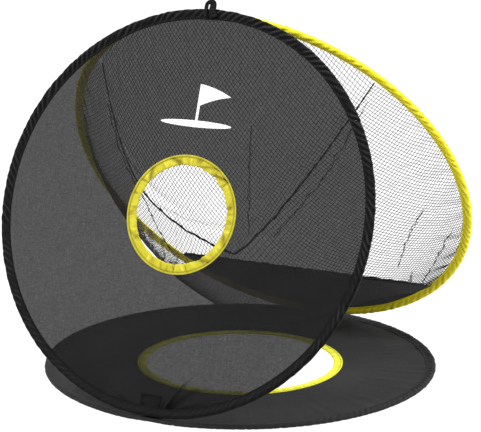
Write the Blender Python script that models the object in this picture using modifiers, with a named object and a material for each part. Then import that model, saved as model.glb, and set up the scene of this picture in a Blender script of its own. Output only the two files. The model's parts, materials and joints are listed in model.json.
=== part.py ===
"""Golf chipping net: three pop-up hoops hinged into a triangular prism.

The ground hoop lies flat, the front hoop carries a fabric face with a small target hole, and the
back hoop carries a net pocket. Both standing hoops lean on each other at the top and can be opened
out flat, each about a hinge tab on the ground hoop.

Frame: +X to the right as a player in front of the small target sees it, +Y away from that player,
+Z up. The origin is the centre of the ground hoop on the floor. Units are metres.
"""
import math

import bpy
from mathutils import Matrix, Vector

# ---------------------------------------------------------------- driving dimensions
GROUND_RADIUS = 0.290
FRONT_RADIUS = 0.287
BACK_RADIUS = 0.3176
FRONT_LEAN = math.radians(69.0)
BACK_LEAN = math.radians(56.66)
FRONT_HINGE_Y = -0.2857
BACK_HINGE_Y = 0.270

SLEEVE_WIDTH = 0.014
SLEEVE_HALF = 0.0035
LIP_HALF = 0.0020
LIP_RUN = 0.004
MOUTH_HALF = 0.00075
MOUTH_DEPTH = 0.0044
CAVITY_HALF = 0.00275
CAVITY_WALL = 0.0024
CAVITY_FLARE = 0.0019
GAP = 0.0003

WIRE_INSET = 0.0055
WIRE_RADIUS = 0.0015
WIRE_END_GAP = 0.0020
FERRULE_RADIUS = 0.0021
FERRULE_BORE = 0.0017
FERRULE_LENGTH = 0.016

PANEL_HALF = 0.0003
PANEL_TUCK = 0.0038
BINDING_HALF = 0.0014
BINDING_SLOT = 0.0006
BINDING_BITE = 0.0060
BINDING_FOLD = 0.0012
BINDING_FOLD_SHARE = 0.6
BINDING_LIP = 0.0003
BINDING_CHAMFER = 0.0008
HOLE_MARGIN = 0.0007

GROUND_TARGET_RADIUS = 0.1525
GROUND_BINDING_WIDTH = 0.013
FRONT_TARGET_RADIUS = 0.084
FRONT_BINDING_WIDTH = 0.0145
FRONT_TARGET_DROP = 0.004

TAB_WIDTH = 0.034
TAB_THICKNESS = 0.0012
TAB_REACH = 0.028
TAB_SLOPE = 0.0130
TAB_STAND_OFF = 0.0010
TAB_NOSE_GAP = 0.0001
TOP_TAB_WIDTH = 0.030
TOP_TAB_DROP = 0.0026

LOOP_CENTRE_X = -0.0034
LOOP_HALF_WIDTH = 0.0087
LOOP_RISE = 0.012
LOOP_RADIUS = 0.0014
LOOP_LEG = 0.012

MARK_HALF = 0.0002
MARK_WIDTH = 0.110
MARK_HEIGHT = 0.056
MARK_BASE_Y = 0.124

CHORD_HEIGHT = 0.089
CHORD_TAPE_WIDTH = 0.008
CHORD_TAPE_HALF = 0.0011
SEAM_TAPE_RADIUS = 0.0022
SEAM_ANGLE = math.radians(46.0)
SEAM_BOTTOM_Z = 0.174
SEAM_RIGHT_POWER = 1.2
SEAM_LEFT_SHARE = 0.38
SEAM_LEFT_POWER = 1.35
SEAM_SHOULDER_POWER = 6.5
NET_THICKNESS = 0.0012
NET_EDGE_GAP = 0.0008
NET_TAPE_GAP = 0.0024
NET_SEAM_GAP = 0.0036
NET_SAG = 0.100
NET_SAG_POWER = 2.5
UPPER_NET_SPAN = 0.94
LOWER_NET_SPAN = 0.95
SEAM_TAPE_SPAN = 0.975
NET_CORNER = 0.45

HOOP_STEPS = 60
HOLE_STEPS = 48
SEAM_STEPS = 32
HINGE_Z = 2 * SLEEVE_HALF + GAP + SLEEVE_HALF

# ---------------------------------------------------------------- scene helpers
for old in list(bpy.data.objects):
    bpy.data.objects.remove(old, do_unlink=True)

parts = bpy.data.collections.new("golf_chipping_net")
bpy.context.scene.collection.children.link(parts)


def material(name, colour, roughness, metallic=0.0):
    """A Principled material with the sub-part's own colour and finish."""
    mat = bpy.data.materials.new(name)
    mat.use_nodes = True
    shader = mat.node_tree.nodes["Principled BSDF"]
    shader.inputs["Base Color"].default_value = (*colour, 1.0)
    shader.inputs["Roughness"].default_value = roughness
    shader.inputs["Metallic"].default_value = metallic
    return mat


BLACK_SLEEVE = (0.012, 0.012, 0.013)
BLACK_PANEL = (0.028, 0.028, 0.030)
BLACK_MESH = (0.020, 0.020, 0.021)
YELLOW = (0.78, 0.66, 0.010)
STEEL = (0.55, 0.56, 0.58)
WHITE = (0.85, 0.85, 0.85)


def frame_at(name, y, z, tilt):
    """An empty whose local X is world X, Y runs up the disc and Z is the disc's normal."""
    empty = bpy.data.objects.new(name, None)
    empty.location = (0.0, y, z)
    empty.rotation_euler = (tilt, 0.0, 0.0)
    parts.objects.link(empty)
    return empty


def add_mesh(name, mesh, parent, location=(0.0, 0.0, 0.0), rotation=(0.0, 0.0, 0.0)):
    """One named object in its disc's frame."""
    obj = bpy.data.objects.new(name, mesh)
    obj.parent = parent
    obj.location = location
    obj.rotation_euler = rotation
    parts.objects.link(obj)
    return obj


def finish(obj, colour, roughness, metallic=0.0):
    """Gives the object its own material."""
    obj.data.materials.append(material(obj.name + "_finish", colour, roughness, metallic))
    return obj


def turned(name, profile, parent, location=(0.0, 0.0, 0.0), rotation=(0.0, 0.0, 0.0), steps=HOOP_STEPS):
    """A closed (radius, height) profile swept once round local Z by a Screw modifier."""
    mesh = bpy.data.meshes.new(name)
    points = [(r, 0.0, h) for r, h in profile]
    edges = [(i, (i + 1) % len(points)) for i in range(len(points))]
    mesh.from_pydata(points, edges, [])
    obj = add_mesh(name, mesh, parent, location, rotation)
    screw = obj.modifiers.new("Turn", "SCREW")
    screw.axis = "Z"
    screw.angle = math.tau
    screw.steps = steps
    screw.render_steps = steps
    screw.use_merge_vertices = True
    screw.merge_threshold = 0.00001
    screw.use_smooth_shade = True
    return obj


def poly_curve(name, points, depth, parent, cyclic=False, resolution=1):
    """A round tube along straight steps between the points."""
    data = bpy.data.curves.new(name, "CURVE")
    data.dimensions = "3D"
    data.bevel_depth = depth
    data.bevel_resolution = resolution
    data.use_fill_caps = True
    spline = data.splines.new("POLY")
    spline.points.add(len(points) - 1)
    for point, co in zip(spline.points, points):
        point.co = (*co, 1.0)
    spline.use_cyclic_u = cyclic
    obj = bpy.data.objects.new(name, data)
    obj.parent = parent
    parts.objects.link(obj)
    return obj


def flat_outline(name, loops, half, parent, location=(0.0, 0.0, 0.0), rotation=(0.0, 0.0, 0.0)):
    """A plate: 2D outlines, the later ones being holes, extruded by half its thickness each way."""
    data = bpy.data.curves.new(name, "CURVE")
    data.dimensions = "2D"
    data.fill_mode = "BOTH"
    data.extrude = half
    for loop in loops:
        spline = data.splines.new("POLY")
        spline.points.add(len(loop) - 1)
        for point, (x, y) in zip(spline.points, loop):
            point.co = (x, y, 0.0, 1.0)
        spline.use_cyclic_u = True
    obj = bpy.data.objects.new(name, data)
    obj.parent = parent
    obj.location = location
    obj.rotation_euler = rotation
    parts.objects.link(obj)
    return obj


def circle(radius, steps=HOOP_STEPS, centre=(0.0, 0.0)):
    """Points round a circle, the first at +X."""
    angles = [math.tau * i / steps for i in range(steps)]
    return [(centre[0] + radius * math.cos(a), centre[1] + radius * math.sin(a)) for a in angles]


# ---------------------------------------------------------------- the three hoops
ground = frame_at("ground_frame", 0.0, SLEEVE_HALF, 0.0)
front = frame_at("front_frame", FRONT_HINGE_Y, HINGE_Z, FRONT_LEAN)
back = frame_at("back_frame", BACK_HINGE_Y, HINGE_Z, math.pi - BACK_LEAN)


def hoop_centre(radius):
    """How far up the disc the hoop's centre is: the hinge runs through the middle of its nose."""
    return radius - SLEEVE_HALF


def sleeve_profile(radius):
    """A fabric tube round the wire, open toward the centre where the panel's edge is sewn in."""
    inner = radius - SLEEVE_WIDTH
    mouth = inner + MOUTH_DEPTH
    nose = SLEEVE_HALF * math.sin(math.radians(45.0))
    nose_centre = radius - SLEEVE_HALF
    outside = [
        (inner, MOUTH_HALF),
        (inner, LIP_HALF),
        (inner + LIP_RUN, SLEEVE_HALF),
        (nose_centre, SLEEVE_HALF),
        (nose_centre + nose, nose),
        (radius, 0.0),
    ]
    cavity = [
        (radius - CAVITY_WALL, CAVITY_HALF),
        (mouth + CAVITY_FLARE, CAVITY_HALF),
        (mouth, MOUTH_HALF),
    ]
    lower = [(r, -h) for r, h in reversed(outside[:-1])]
    lower_cavity = [(r, -h) for r, h in reversed(cavity)]
    return outside + lower + lower_cavity + cavity


def hoop_wire(prefix, radius, parent, centre_y):
    """A spring-steel ring, open where its ends meet inside the crimped ferrule at the top."""
    inner = radius - WIRE_INSET
    half_step = math.pi / HOOP_STEPS
    corner_radius = inner / math.cos(half_step)
    top = centre_y + inner
    points = [(-WIRE_END_GAP / 2, top, 0.0)]
    for i in range(HOOP_STEPS):
        angle = math.pi / 2 + half_step * (2 * i + 1)
        points.append((corner_radius * math.cos(angle), centre_y + corner_radius * math.sin(angle), 0.0))
    points.append((WIRE_END_GAP / 2, top, 0.0))
    finish(poly_curve(prefix + "_hoop_wire", points, WIRE_RADIUS, parent), STEEL, 0.35, 1.0)


def hoop_ferrule(prefix, radius, parent, centre_y):
    """The short tube that joins the wire's two ends."""
    half = FERRULE_LENGTH / 2
    profile = [
        (FERRULE_BORE, half),
        (FERRULE_RADIUS, half),
        (FERRULE_RADIUS, -half),
        (FERRULE_BORE, -half),
    ]
    place = (0.0, centre_y + radius - WIRE_INSET, 0.0)
    ferrule = turned(prefix + "_hoop_ferrule", profile, parent, place, (0.0, math.radians(90.0), 0.0), 12)
    finish(ferrule, STEEL, 0.45, 1.0)


def hoop_sleeve(prefix, radius, parent, centre_y, colour):
    """The fabric sleeve that hides the wire and ferrule."""
    sleeve = turned(prefix + "_hoop_sleeve", sleeve_profile(radius), parent, (0.0, centre_y, 0.0))
    finish(sleeve, colour, 0.75)


def hoop(prefix, radius, parent, centre_y, colour):
    """Wire, ferrule and sleeve of one hoop."""
    hoop_wire(prefix, radius, parent, centre_y)
    hoop_ferrule(prefix, radius, parent, centre_y)
    hoop_sleeve(prefix, radius, parent, centre_y, colour)


def panel_edge(radius):
    """Radius of a panel's edge, tucked into the mouth of its sleeve."""
    return radius - SLEEVE_WIDTH + PANEL_TUCK


def target_panel(prefix, radius, parent, centre_y, hole_radius, hole_y, colour):
    """A round fabric panel with a target hole."""
    rim = circle(panel_edge(radius))
    hole = circle(hole_radius, HOLE_STEPS, (0.0, hole_y))
    panel = flat_outline(prefix + "_panel", [rim, hole], PANEL_HALF, parent, (0.0, centre_y, 0.0))
    finish(panel, colour, 0.85)


def target_binding(prefix, parent, centre_y, outer, width, steps=HOLE_STEPS):
    """The bright bias tape folded over the panel's edge round the target hole."""
    inner = outer - width
    slot = outer - BINDING_BITE
    profile = [
        (inner, BINDING_HALF * BINDING_FOLD_SHARE),
        (inner + BINDING_FOLD, BINDING_HALF),
        (outer - BINDING_CHAMFER, BINDING_HALF),
        (outer, BINDING_SLOT + BINDING_LIP),
        (outer, BINDING_SLOT),
        (slot, BINDING_SLOT),
        (slot, -BINDING_SLOT),
        (outer, -BINDING_SLOT),
        (outer, -BINDING_SLOT - BINDING_LIP),
        (outer - BINDING_CHAMFER, -BINDING_HALF),
        (inner + BINDING_FOLD, -BINDING_HALF),
        (inner, -BINDING_HALF * BINDING_FOLD_SHARE),
    ]
    binding = turned(prefix + "_target_binding", profile, parent, (0.0, centre_y, 0.0), steps=steps)
    finish(binding, YELLOW, 0.6)


def hole_edge(outer):
    """Radius of the hole cut in the panel, inside the folded binding."""
    return outer - BINDING_BITE + HOLE_MARGIN


hoop("ground", GROUND_RADIUS, ground, 0.0, BLACK_SLEEVE)
target_panel("ground", GROUND_RADIUS, ground, 0.0, hole_edge(GROUND_TARGET_RADIUS), 0.0, BLACK_PANEL)
target_binding("ground", ground, 0.0, GROUND_TARGET_RADIUS, GROUND_BINDING_WIDTH)

front_centre = hoop_centre(FRONT_RADIUS)
hoop("front", FRONT_RADIUS, front, front_centre, BLACK_SLEEVE)
target_panel("front", FRONT_RADIUS, front, front_centre, hole_edge(FRONT_TARGET_RADIUS),
             -FRONT_TARGET_DROP, BLACK_MESH)
target_binding("front", front, front_centre - FRONT_TARGET_DROP, FRONT_TARGET_RADIUS, FRONT_BINDING_WIDTH)

back_centre = hoop_centre(BACK_RADIUS)
hoop("back", BACK_RADIUS, back, back_centre, YELLOW)


# ---------------------------------------------------------------- hinge tabs and ties
def ribbon(name, path, width, parent, side=1.0):
    """A webbing tab: a (along, height) path in the disc's YZ plane, given width and thickness."""
    mesh = bpy.data.meshes.new(name)
    verts = []
    for x in (-width / 2, width / 2):
        verts += [(x, along, side * height) for along, height in path]
    count = len(path)
    faces = [(i, i + 1, count + i + 1, count + i) for i in range(count - 1)]
    mesh.from_pydata(verts, [], faces)
    obj = add_mesh(name, mesh, parent)
    thick = obj.modifiers.new("Thickness", "SOLIDIFY")
    thick.thickness = TAB_THICKNESS
    thick.offset = 0.0
    thick.use_even_offset = True
    return finish(obj, BLACK_SLEEVE, 0.8)


TAB_HIGH = SLEEVE_HALF + GAP + TAB_THICKNESS / 2
TAB_LOW = PANEL_HALF + 2 * GAP + TAB_THICKNESS / 2
SLEEVE_FLAT = SLEEVE_WIDTH - LIP_RUN - SLEEVE_HALF


def hoop_tab_path(start, reach):
    """From the sleeve's face down past its lip and along the panel, measured from the nose's middle."""
    return [
        (start, TAB_HIGH),
        (SLEEVE_FLAT + TAB_STAND_OFF, TAB_HIGH),
        (SLEEVE_FLAT + TAB_SLOPE, TAB_LOW),
        (reach, TAB_LOW),
    ]


def hinge_tabs():
    """Each hinge is a leaf on the ground hoop and a leaf on the standing hoop, on the inner side."""
    clearance = SLEEVE_HALF - TAB_NOSE_GAP
    end = -FRONT_HINGE_Y - clearance
    flat_end = GROUND_RADIUS - SLEEVE_WIDTH + LIP_RUN
    over_sleeve = [
        (end, TAB_HIGH),
        (flat_end, TAB_HIGH),
        (flat_end - TAB_SLOPE - TAB_STAND_OFF, TAB_LOW),
        (end - TAB_REACH, TAB_LOW),
    ]
    ribbon("front_hinge_base_tab", [(-y, z) for y, z in over_sleeve], TAB_WIDTH, ground)
    end = BACK_HINGE_Y - clearance
    ribbon("back_hinge_base_tab", [(end, TAB_LOW), (end - TAB_REACH, TAB_LOW)], TAB_WIDTH, ground)
    leaf = hoop_tab_path(TAB_STAND_OFF, TAB_REACH)
    ribbon("front_hinge_tab", leaf, TAB_WIDTH, front, -1.0)
    ribbon("back_hinge_tab", leaf, TAB_WIDTH, back, 1.0)


def top_tabs():
    """The halves of the tie between the two standing hoops, one on each sleeve's inner face."""
    for prefix, radius, parent in (("front", FRONT_RADIUS, front), ("back", BACK_RADIUS, back)):
        top = 2 * hoop_centre(radius)
        hanging = [(top - TOP_TAB_DROP, TAB_HIGH), (top - SLEEVE_FLAT, TAB_HIGH)]
        ribbon(prefix + "_top_tab", hanging, TOP_TAB_WIDTH, parent, -1.0)


def hanging_loop():
    """An elastic cord loop: two legs sewn to the front of the sleeve and an arch above the rim."""
    rim = 2 * hoop_centre(FRONT_RADIUS) + SLEEVE_HALF
    shoulder = rim + LOOP_RISE - LOOP_HALF_WIDTH
    height = SLEEVE_HALF + GAP + LOOP_RADIUS
    points = [(LOOP_CENTRE_X - LOOP_HALF_WIDTH, rim - LOOP_LEG, height)]
    for i in range(9):
        angle = math.pi * (1 - i / 8)
        across = LOOP_HALF_WIDTH * math.cos(angle)
        points.append((LOOP_CENTRE_X + across, shoulder + LOOP_HALF_WIDTH * math.sin(angle), height))
    points.append((LOOP_CENTRE_X + LOOP_HALF_WIDTH, rim - LOOP_LEG, height))
    finish(poly_curve("hanging_loop", points, LOOP_RADIUS, front), BLACK_SLEEVE, 0.7)


def front_mark():
    """A plain printed pictogram: a pennant on its pole above a putting green."""
    half_pole = 0.0022
    green = MARK_WIDTH / 2
    green_half_height = 0.0048
    fly = 0.046
    hoist = 0.030
    lift = math.acos(half_pole / green)
    count = 28
    outline = [(-half_pole, MARK_HEIGHT), (half_pole, MARK_HEIGHT)]
    outline += [(half_pole + fly, MARK_HEIGHT - hoist / 2), (half_pole, MARK_HEIGHT - hoist)]
    for i in range(count + 1):
        angle = lift - i * (math.tau - 2 * (math.pi / 2 - lift)) / count
        outline.append((green * math.cos(angle), green_half_height * math.sin(angle)))
    place = (0.0, front_centre + MARK_BASE_Y, PANEL_HALF + GAP + MARK_HALF)
    finish(flat_outline("front_print_mark", [outline[::-1]], MARK_HALF, front, place), WHITE, 0.6)


# ---------------------------------------------------------------- the back hoop's fabric and net
def back_lower_panel():
    """The solid fabric segment at the foot of the back hoop, with a tape along its straight edge."""
    chord = CHORD_HEIGHT - back_centre
    radius = panel_edge(BACK_RADIUS)
    start = math.asin((chord - GAP) / radius)
    sweep = -math.pi - 2 * start
    count = 20
    segment = []
    for i in range(count + 1):
        angle = start + sweep * i / count
        segment.append((radius * math.cos(angle), radius * math.sin(angle)))
    middle = (0.0, back_centre, 0.0)
    finish(flat_outline("back_lower_panel", [segment[::-1]], PANEL_HALF, back, middle), BLACK_PANEL, 0.85)
    lip_radius = BACK_RADIUS - SLEEVE_WIDTH - NET_EDGE_GAP
    low_half = math.sqrt(lip_radius ** 2 - chord ** 2)
    high = chord + CHORD_TAPE_WIDTH
    high_half = math.sqrt(lip_radius ** 2 - high ** 2)
    tape = [(-low_half, chord), (low_half, chord), (high_half, high), (-high_half, high)]
    finish(flat_outline("back_panel_tape", [tape], CHORD_TAPE_HALF, back, middle), BLACK_SLEEVE, 0.8)


BACK_TILT = Matrix.Rotation(math.pi - BACK_LEAN, 4, "X")
BACK_TO_WORLD = Matrix.Translation((0.0, BACK_HINGE_Y, HINGE_Z)) @ BACK_TILT
WORLD_TO_BACK = BACK_TO_WORLD.inverted()
NET_RADIUS = BACK_RADIUS - SLEEVE_WIDTH - NET_EDGE_GAP


def on_hoop(angle):
    """A point just inside the back sleeve's lips; the angle runs from the hoop's top toward +X."""
    return Vector((NET_RADIUS * math.sin(angle), back_centre + NET_RADIUS * math.cos(angle), 0.0))


SEAM_END = BACK_TO_WORLD @ on_hoop(SEAM_ANGLE)


def seam_rise(s):
    """Share of the seam's climb: nearly straight on the right; on the left slow, then steep."""
    if s > 0:
        return s ** SEAM_RIGHT_POWER
    slow = SEAM_LEFT_SHARE * abs(s) ** SEAM_LEFT_POWER
    return slow + (1 - SEAM_LEFT_SHARE) * abs(s) ** SEAM_SHOULDER_POWER


def on_seam(s):
    """The seam hangs between the hoop's shoulders in an upright plane; s runs from -1 to 1."""
    drop = SEAM_END.z - SEAM_BOTTOM_Z
    height = SEAM_BOTTOM_Z + drop * seam_rise(s)
    return WORLD_TO_BACK @ Vector((SEAM_END.x * s, SEAM_END.y, height))


def on_lower_edge(s):
    """Down the hoop from its shoulder, along the tape and up the other side."""
    corner = NET_CORNER
    tape_top = CHORD_HEIGHT + CHORD_TAPE_WIDTH + NET_TAPE_GAP
    half = math.sqrt(NET_RADIUS ** 2 - (tape_top - back_centre) ** 2)
    if abs(s) < corner:
        return Vector((half * s / corner, tape_top, 0.0))
    foot = math.pi / 2 + math.asin((back_centre - tape_top) / NET_RADIUS)
    share = (abs(s) - corner) / (1 - corner)
    return on_hoop(math.copysign(foot + (SEAM_ANGLE - foot) * share, s))


def net_panel(name, edge, seam, span, sag, rows=8, columns=26):
    """Netting from an edge of the hoop to the seam, sagging most in its middle."""
    down = WORLD_TO_BACK.to_3x3() @ Vector((0.0, 0.0, -1.0))
    verts = []
    for i in range(columns + 1):
        s = span * (2 * i / columns - 1)
        low, high = seam(s), edge(s)
        along = high - low
        tangent = (seam(s + 0.01) - seam(s - 0.01)).normalized()
        start = NET_SEAM_GAP / along.cross(tangent).length
        depth = 4 * sag * (1 - s * s) ** NET_SAG_POWER
        for j in range(rows + 1):
            t = start + (1 - start) * j / rows
            verts.append(low + along * t + down * (depth * t * (1 - t)))
    mesh = bpy.data.meshes.new(name)
    faces = []
    for i in range(columns):
        for j in range(rows):
            a = i * (rows + 1) + j
            faces.append((a, a + 1, a + rows + 2, a + rows + 1))
    mesh.from_pydata(verts, [], faces)
    obj = add_mesh(name, mesh, back)
    thick = obj.modifiers.new("Thickness", "SOLIDIFY")
    thick.thickness = NET_THICKNESS
    thick.offset = 0.0
    return finish(obj, BLACK_MESH, 0.8)


def net():
    """The pocket: an upper net, a lower net and the tape over the seam between them."""
    net_panel("net_upper_panel", lambda s: on_hoop(SEAM_ANGLE * s), on_seam, UPPER_NET_SPAN, 0.0)
    net_panel("net_lower_panel", on_lower_edge, on_seam, LOWER_NET_SPAN, NET_SAG, rows=12)
    points = [on_seam(SEAM_TAPE_SPAN * (2 * i / SEAM_STEPS - 1)) for i in range(SEAM_STEPS + 1)]
    finish(poly_curve("net_seam_tape", points, SEAM_TAPE_RADIUS, back), BLACK_SLEEVE, 0.8)


hinge_tabs()
top_tabs()
hanging_loop()
front_mark()
back_lower_panel()
net()
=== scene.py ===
"""The looks of the golf chipping net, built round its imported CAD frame.

Fabric sleeves, sheer and solid panels, bindings, straps and knotted netting stand for the plain CAD
solids. Every piece is made where the frame says, in metres: +X right, +Y away, +Z up.
"""
import json
import math

import bmesh
import bpy
from mathutils import Matrix, Vector, noise
from mathutils.bvhtree import BVHTree
from mathutils.geometry import barycentric_transform


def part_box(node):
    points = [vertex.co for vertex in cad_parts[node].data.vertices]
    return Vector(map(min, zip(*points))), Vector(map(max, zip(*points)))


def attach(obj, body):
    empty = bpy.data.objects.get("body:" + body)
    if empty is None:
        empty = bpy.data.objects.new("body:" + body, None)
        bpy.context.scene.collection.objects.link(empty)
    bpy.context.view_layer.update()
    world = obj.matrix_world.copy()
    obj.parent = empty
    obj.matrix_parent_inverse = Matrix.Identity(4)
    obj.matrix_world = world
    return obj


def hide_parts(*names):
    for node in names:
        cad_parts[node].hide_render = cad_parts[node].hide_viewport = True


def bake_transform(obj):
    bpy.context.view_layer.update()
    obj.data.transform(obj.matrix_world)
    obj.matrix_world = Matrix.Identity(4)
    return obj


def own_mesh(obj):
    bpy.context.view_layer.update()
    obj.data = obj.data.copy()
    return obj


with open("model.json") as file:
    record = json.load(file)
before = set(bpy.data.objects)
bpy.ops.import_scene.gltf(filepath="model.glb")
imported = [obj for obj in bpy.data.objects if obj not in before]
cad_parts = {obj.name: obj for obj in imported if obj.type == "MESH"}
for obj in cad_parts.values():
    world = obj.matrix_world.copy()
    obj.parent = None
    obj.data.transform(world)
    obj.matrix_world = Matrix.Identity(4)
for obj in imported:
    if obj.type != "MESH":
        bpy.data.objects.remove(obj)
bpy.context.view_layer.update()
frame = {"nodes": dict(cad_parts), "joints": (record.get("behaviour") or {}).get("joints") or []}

JOINTS = {joint["name"]: joint for joint in frame["joints"]}

# ---------------------------------------------------------------- sizes
SLEEVE_WIDTH = 0.014
SLEEVE_HALF = 0.0036
SLEEVE_LIP_HALF = 0.0011
PANEL_TUCK = 0.0030
SEWN_SHARE = 0.80
JOIN_ANGLE = math.radians(172.5)
FLOOR_CLEARANCE = 0.0002

# A sleeve is drawn in where its hinge strap wraps it, and lies flat where two opened hoops cross.
HINGE_PINCH = 0.0016
HINGE_PINCH_REACH = 0.024
HINGE_FLATTENING = 0.25
CROSSING_REACH = 0.11
CROSSING_HEIGHT = 0.94

BINDING_HALF = 0.0015
BINDING_LIP_HALF = 0.0009
BINDING_BITE = 0.0050
BINDING_SEWN = 0.0024
PUCKER_DEPTH = 0.0016
PUCKER_REACH = 0.0042

STITCH_PITCH = 0.0036
STITCH_LENGTH = 0.74 * STITCH_PITCH
STITCH_HALF = 0.00032
BOX_STITCH_PITCH = 0.003
BOX_STITCH_LENGTH = 0.0022

FRONT_PANEL_THICKNESS = 0.0003
GROUND_PANEL_THICKNESS = 0.0004
SEGMENT_THICKNESS = 0.0003
PRINT_THICKNESS = 0.00012
PRINT_LIFT = 0.00045

STRAP_WIDTH = 0.033
STRAP_THICKNESS = 0.0013
STRAP_OVER_SLEEVE = 0.0056
STRAP_OVER_PANEL = 0.0020
STRAP_REACH = 0.028
STRAP_BEND = 0.006
STRAP_STEP = 0.0095
STRAP_LAND = 0.0165
STRAP_BOX_WIDTH = 0.0295
STRAP_BOX_START = 0.0135
STRAP_BOX_HEIGHT = 0.0130

TOP_TAB_WIDTH = 0.029
TOP_TAB_HALF = 0.0021
TOP_TAB_THICKNESS = 0.0011

LOOP_X = -0.0048
LOOP_LEG_X = 0.0051
LOOP_LEFT_HALF = 0.0030
LOOP_RIGHT_HALF = 0.0052
LOOP_LEAN = 0.0030
LOOP_THICK_HALF = 0.0013
LOOP_LIFT = SLEEVE_HALF + 0.0022
LOOP_SEWN = 0.013
LOOP_BELOW_CAD = 0.0036

SHOULDER_ANGLE = math.radians(46.0)
SEAM_BOTTOM = 0.174
SAG_POWER = 2.5
CHORD_TAPE_WIDTH = 0.0085
SEGMENT_TUCK = 0.004
NET_TUCK = 0.0132
NET_CORNER = 0.45
CELL_WIDTH = 0.0066
CELL_HEIGHT = 0.0081
LOWER_CELL_SHARE = 0.70
THREAD_HALF = 0.00027
NET_SLACK = 0.02
LOWER_NET_SAG = 0.095
DRAPE_FRAMES = 24

CAMERA_AZIMUTH = math.radians(26.18)
CAMERA_ELEVATION = math.radians(14.4)
CAMERA_DISTANCE = 3.223
CAMERA_LENS = 164.83
CAMERA_AIM = Vector((0.0005, 0.0, 0.227))

RIGHT = Vector((1.0, 0.0, 0.0))


# ---------------------------------------------------------------- the hoops' own frames
class Disc:
    """A hoop's frame: X to the right, Y up the disc, Z its normal, origin at the hoop's centre."""

    def __init__(self, body, joint=None):
        low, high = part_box(body + "_hoop_sleeve")
        self.body = body
        self.centre = (low + high) / 2
        self.radius = (high.x - low.x) / 2
        self.hinge = Vector(JOINTS[joint]["pos_m"]) if joint else None
        self.up = (self.centre - self.hinge).normalized() if joint else Vector((0.0, 1.0, 0.0))
        self.normal = RIGHT.cross(self.up)
        turn = Matrix((RIGHT, self.up, self.normal)).transposed()
        self.matrix = Matrix.Translation(self.centre) @ turn.to_4x4()
        self.inverse = self.matrix.inverted()

    def world(self, x, y, z=0.0):
        return self.matrix @ Vector((x, y, z))

    def at(self, radius, angle, height=0.0, centre_y=0.0):
        """A point on a circle; the angle runs from the top toward +X."""
        return self.world(radius * math.sin(angle), centre_y + radius * math.cos(angle), height)


ground = Disc("ground")
front = Disc("front", "front_fold")
back = Disc("back", "back_fold")


def hole_of(disc):
    """Outer radius of a target's binding, its width and how far its centre is from the disc's."""
    node = frame["nodes"][disc.body + "_target_binding"]
    local = [disc.inverse @ v.co for v in node.data.vertices]
    highest = max(p.y for p in local)
    lowest = min(p.y for p in local)
    centre_y = (highest + lowest) / 2
    radii = [math.hypot(p.x, p.y - centre_y) for p in local]
    return max(radii), max(radii) - min(radii), centre_y


# ---------------------------------------------------------------- meshes
def smooth_step(t):
    t = min(1.0, max(0.0, t))
    return t * t * (3 - 2 * t)


def rough(x, y, z):
    """Smooth noise, about 0."""
    return noise.noise(Vector((x, y, z)))


def ring_noise(angle, scale, seed):
    """Noise that joins up with itself round a circle."""
    return rough(scale * math.cos(angle), scale * math.sin(angle), seed)


def heading(points, i):
    """The way that a line of points runs at one of them."""
    return points[min(i + 1, len(points) - 1)] - points[max(i - 1, 0)]


def route_length(points):
    return sum((b - a).length for a, b in zip(points, points[1:]))


def smooth_path(points, steps):
    """Points of a Catmull-Rom curve through a route."""
    made = []
    count = len(points) - 1
    for k in range(steps + 1):
        where = min(count - 1e-9, k * count / steps)
        i = int(where)
        t = where - i
        p0, p1, p2 = points[max(i - 1, 0)], points[i], points[i + 1]
        p3 = points[min(i + 2, count)]
        made.append(0.5 * (2 * p1 + (p2 - p0) * t + (2 * p0 - 5 * p1 + 4 * p2 - p3) * t ** 2
                           + (3 * p1 - p0 - 3 * p2 + p3) * t ** 3))
    return made


def grid_mesh(name, columns, rows, place, size, wrap_columns=False, wrap_rows=False):
    """A grid of quads: place(u, v) gives a point for u and v from 0 to 1. The UV map is in metres."""
    column_count = columns if wrap_columns else columns + 1
    row_count = rows if wrap_rows else rows + 1
    verts = [place(i / columns, j / rows) for i in range(column_count) for j in range(row_count)]
    faces, uvs = [], []
    for i in range(columns):
        for j in range(rows):
            corners = ((i, j), (i + 1, j), (i + 1, j + 1), (i, j + 1))
            faces.append([(a % column_count) * row_count + b % row_count for a, b in corners])
            for a, b in corners:
                uvs += (a / columns * size[0], b / rows * size[1])
    mesh = bpy.data.meshes.new(name)
    mesh.from_pydata(verts, [], faces)
    mesh.uv_layers.new(name="UVMap").data.foreach_set("uv", uvs)
    mesh.shade_smooth()
    return mesh


def closed_tube(name, steps, sides, place, size):
    """A tube of any section with both of its ends filled."""
    mesh = grid_mesh(name, steps, sides, place, size, wrap_rows=True)
    shape = bmesh.new()
    shape.from_mesh(mesh)
    bmesh.ops.holes_fill(shape, edges=[e for e in shape.edges if e.is_boundary], sides=0)
    bmesh.ops.recalc_face_normals(shape, faces=shape.faces)
    shape.to_mesh(mesh)
    shape.free()
    return mesh


def paint(mesh, name, value):
    """Stores a number from 0 to 1 on each point of a mesh, from value(point)."""
    layer = mesh.attributes.new(name, "FLOAT", "POINT").data
    for vertex in mesh.vertices:
        layer[vertex.index].value = min(1.0, max(0.0, value(vertex.co)))


def face_outward(mesh):
    """Turns the faces of closed shapes outward."""
    shape = bmesh.new()
    shape.from_mesh(mesh)
    bmesh.ops.recalc_face_normals(shape, faces=shape.faces)
    shape.to_mesh(mesh)
    shape.free()


def piece(name, mesh, mat, body=None, nodes=()):
    """One named piece with its material, its body and the CAD nodes that it stands for."""
    obj = bpy.data.objects.new(name, mesh)
    bpy.context.scene.collection.objects.link(obj)
    if not mesh.materials:
        mesh.materials.append(mat)
    if nodes:
        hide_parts(*nodes)
    if body:
        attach(obj, body)
    return obj


def thicken(obj, thickness, offset=0.0):
    """Gives a sheet its thickness, applied."""
    solid = obj.modifiers.new("Thickness", "SOLIDIFY")
    solid.thickness = thickness
    solid.offset = offset
    bake(obj)


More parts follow.
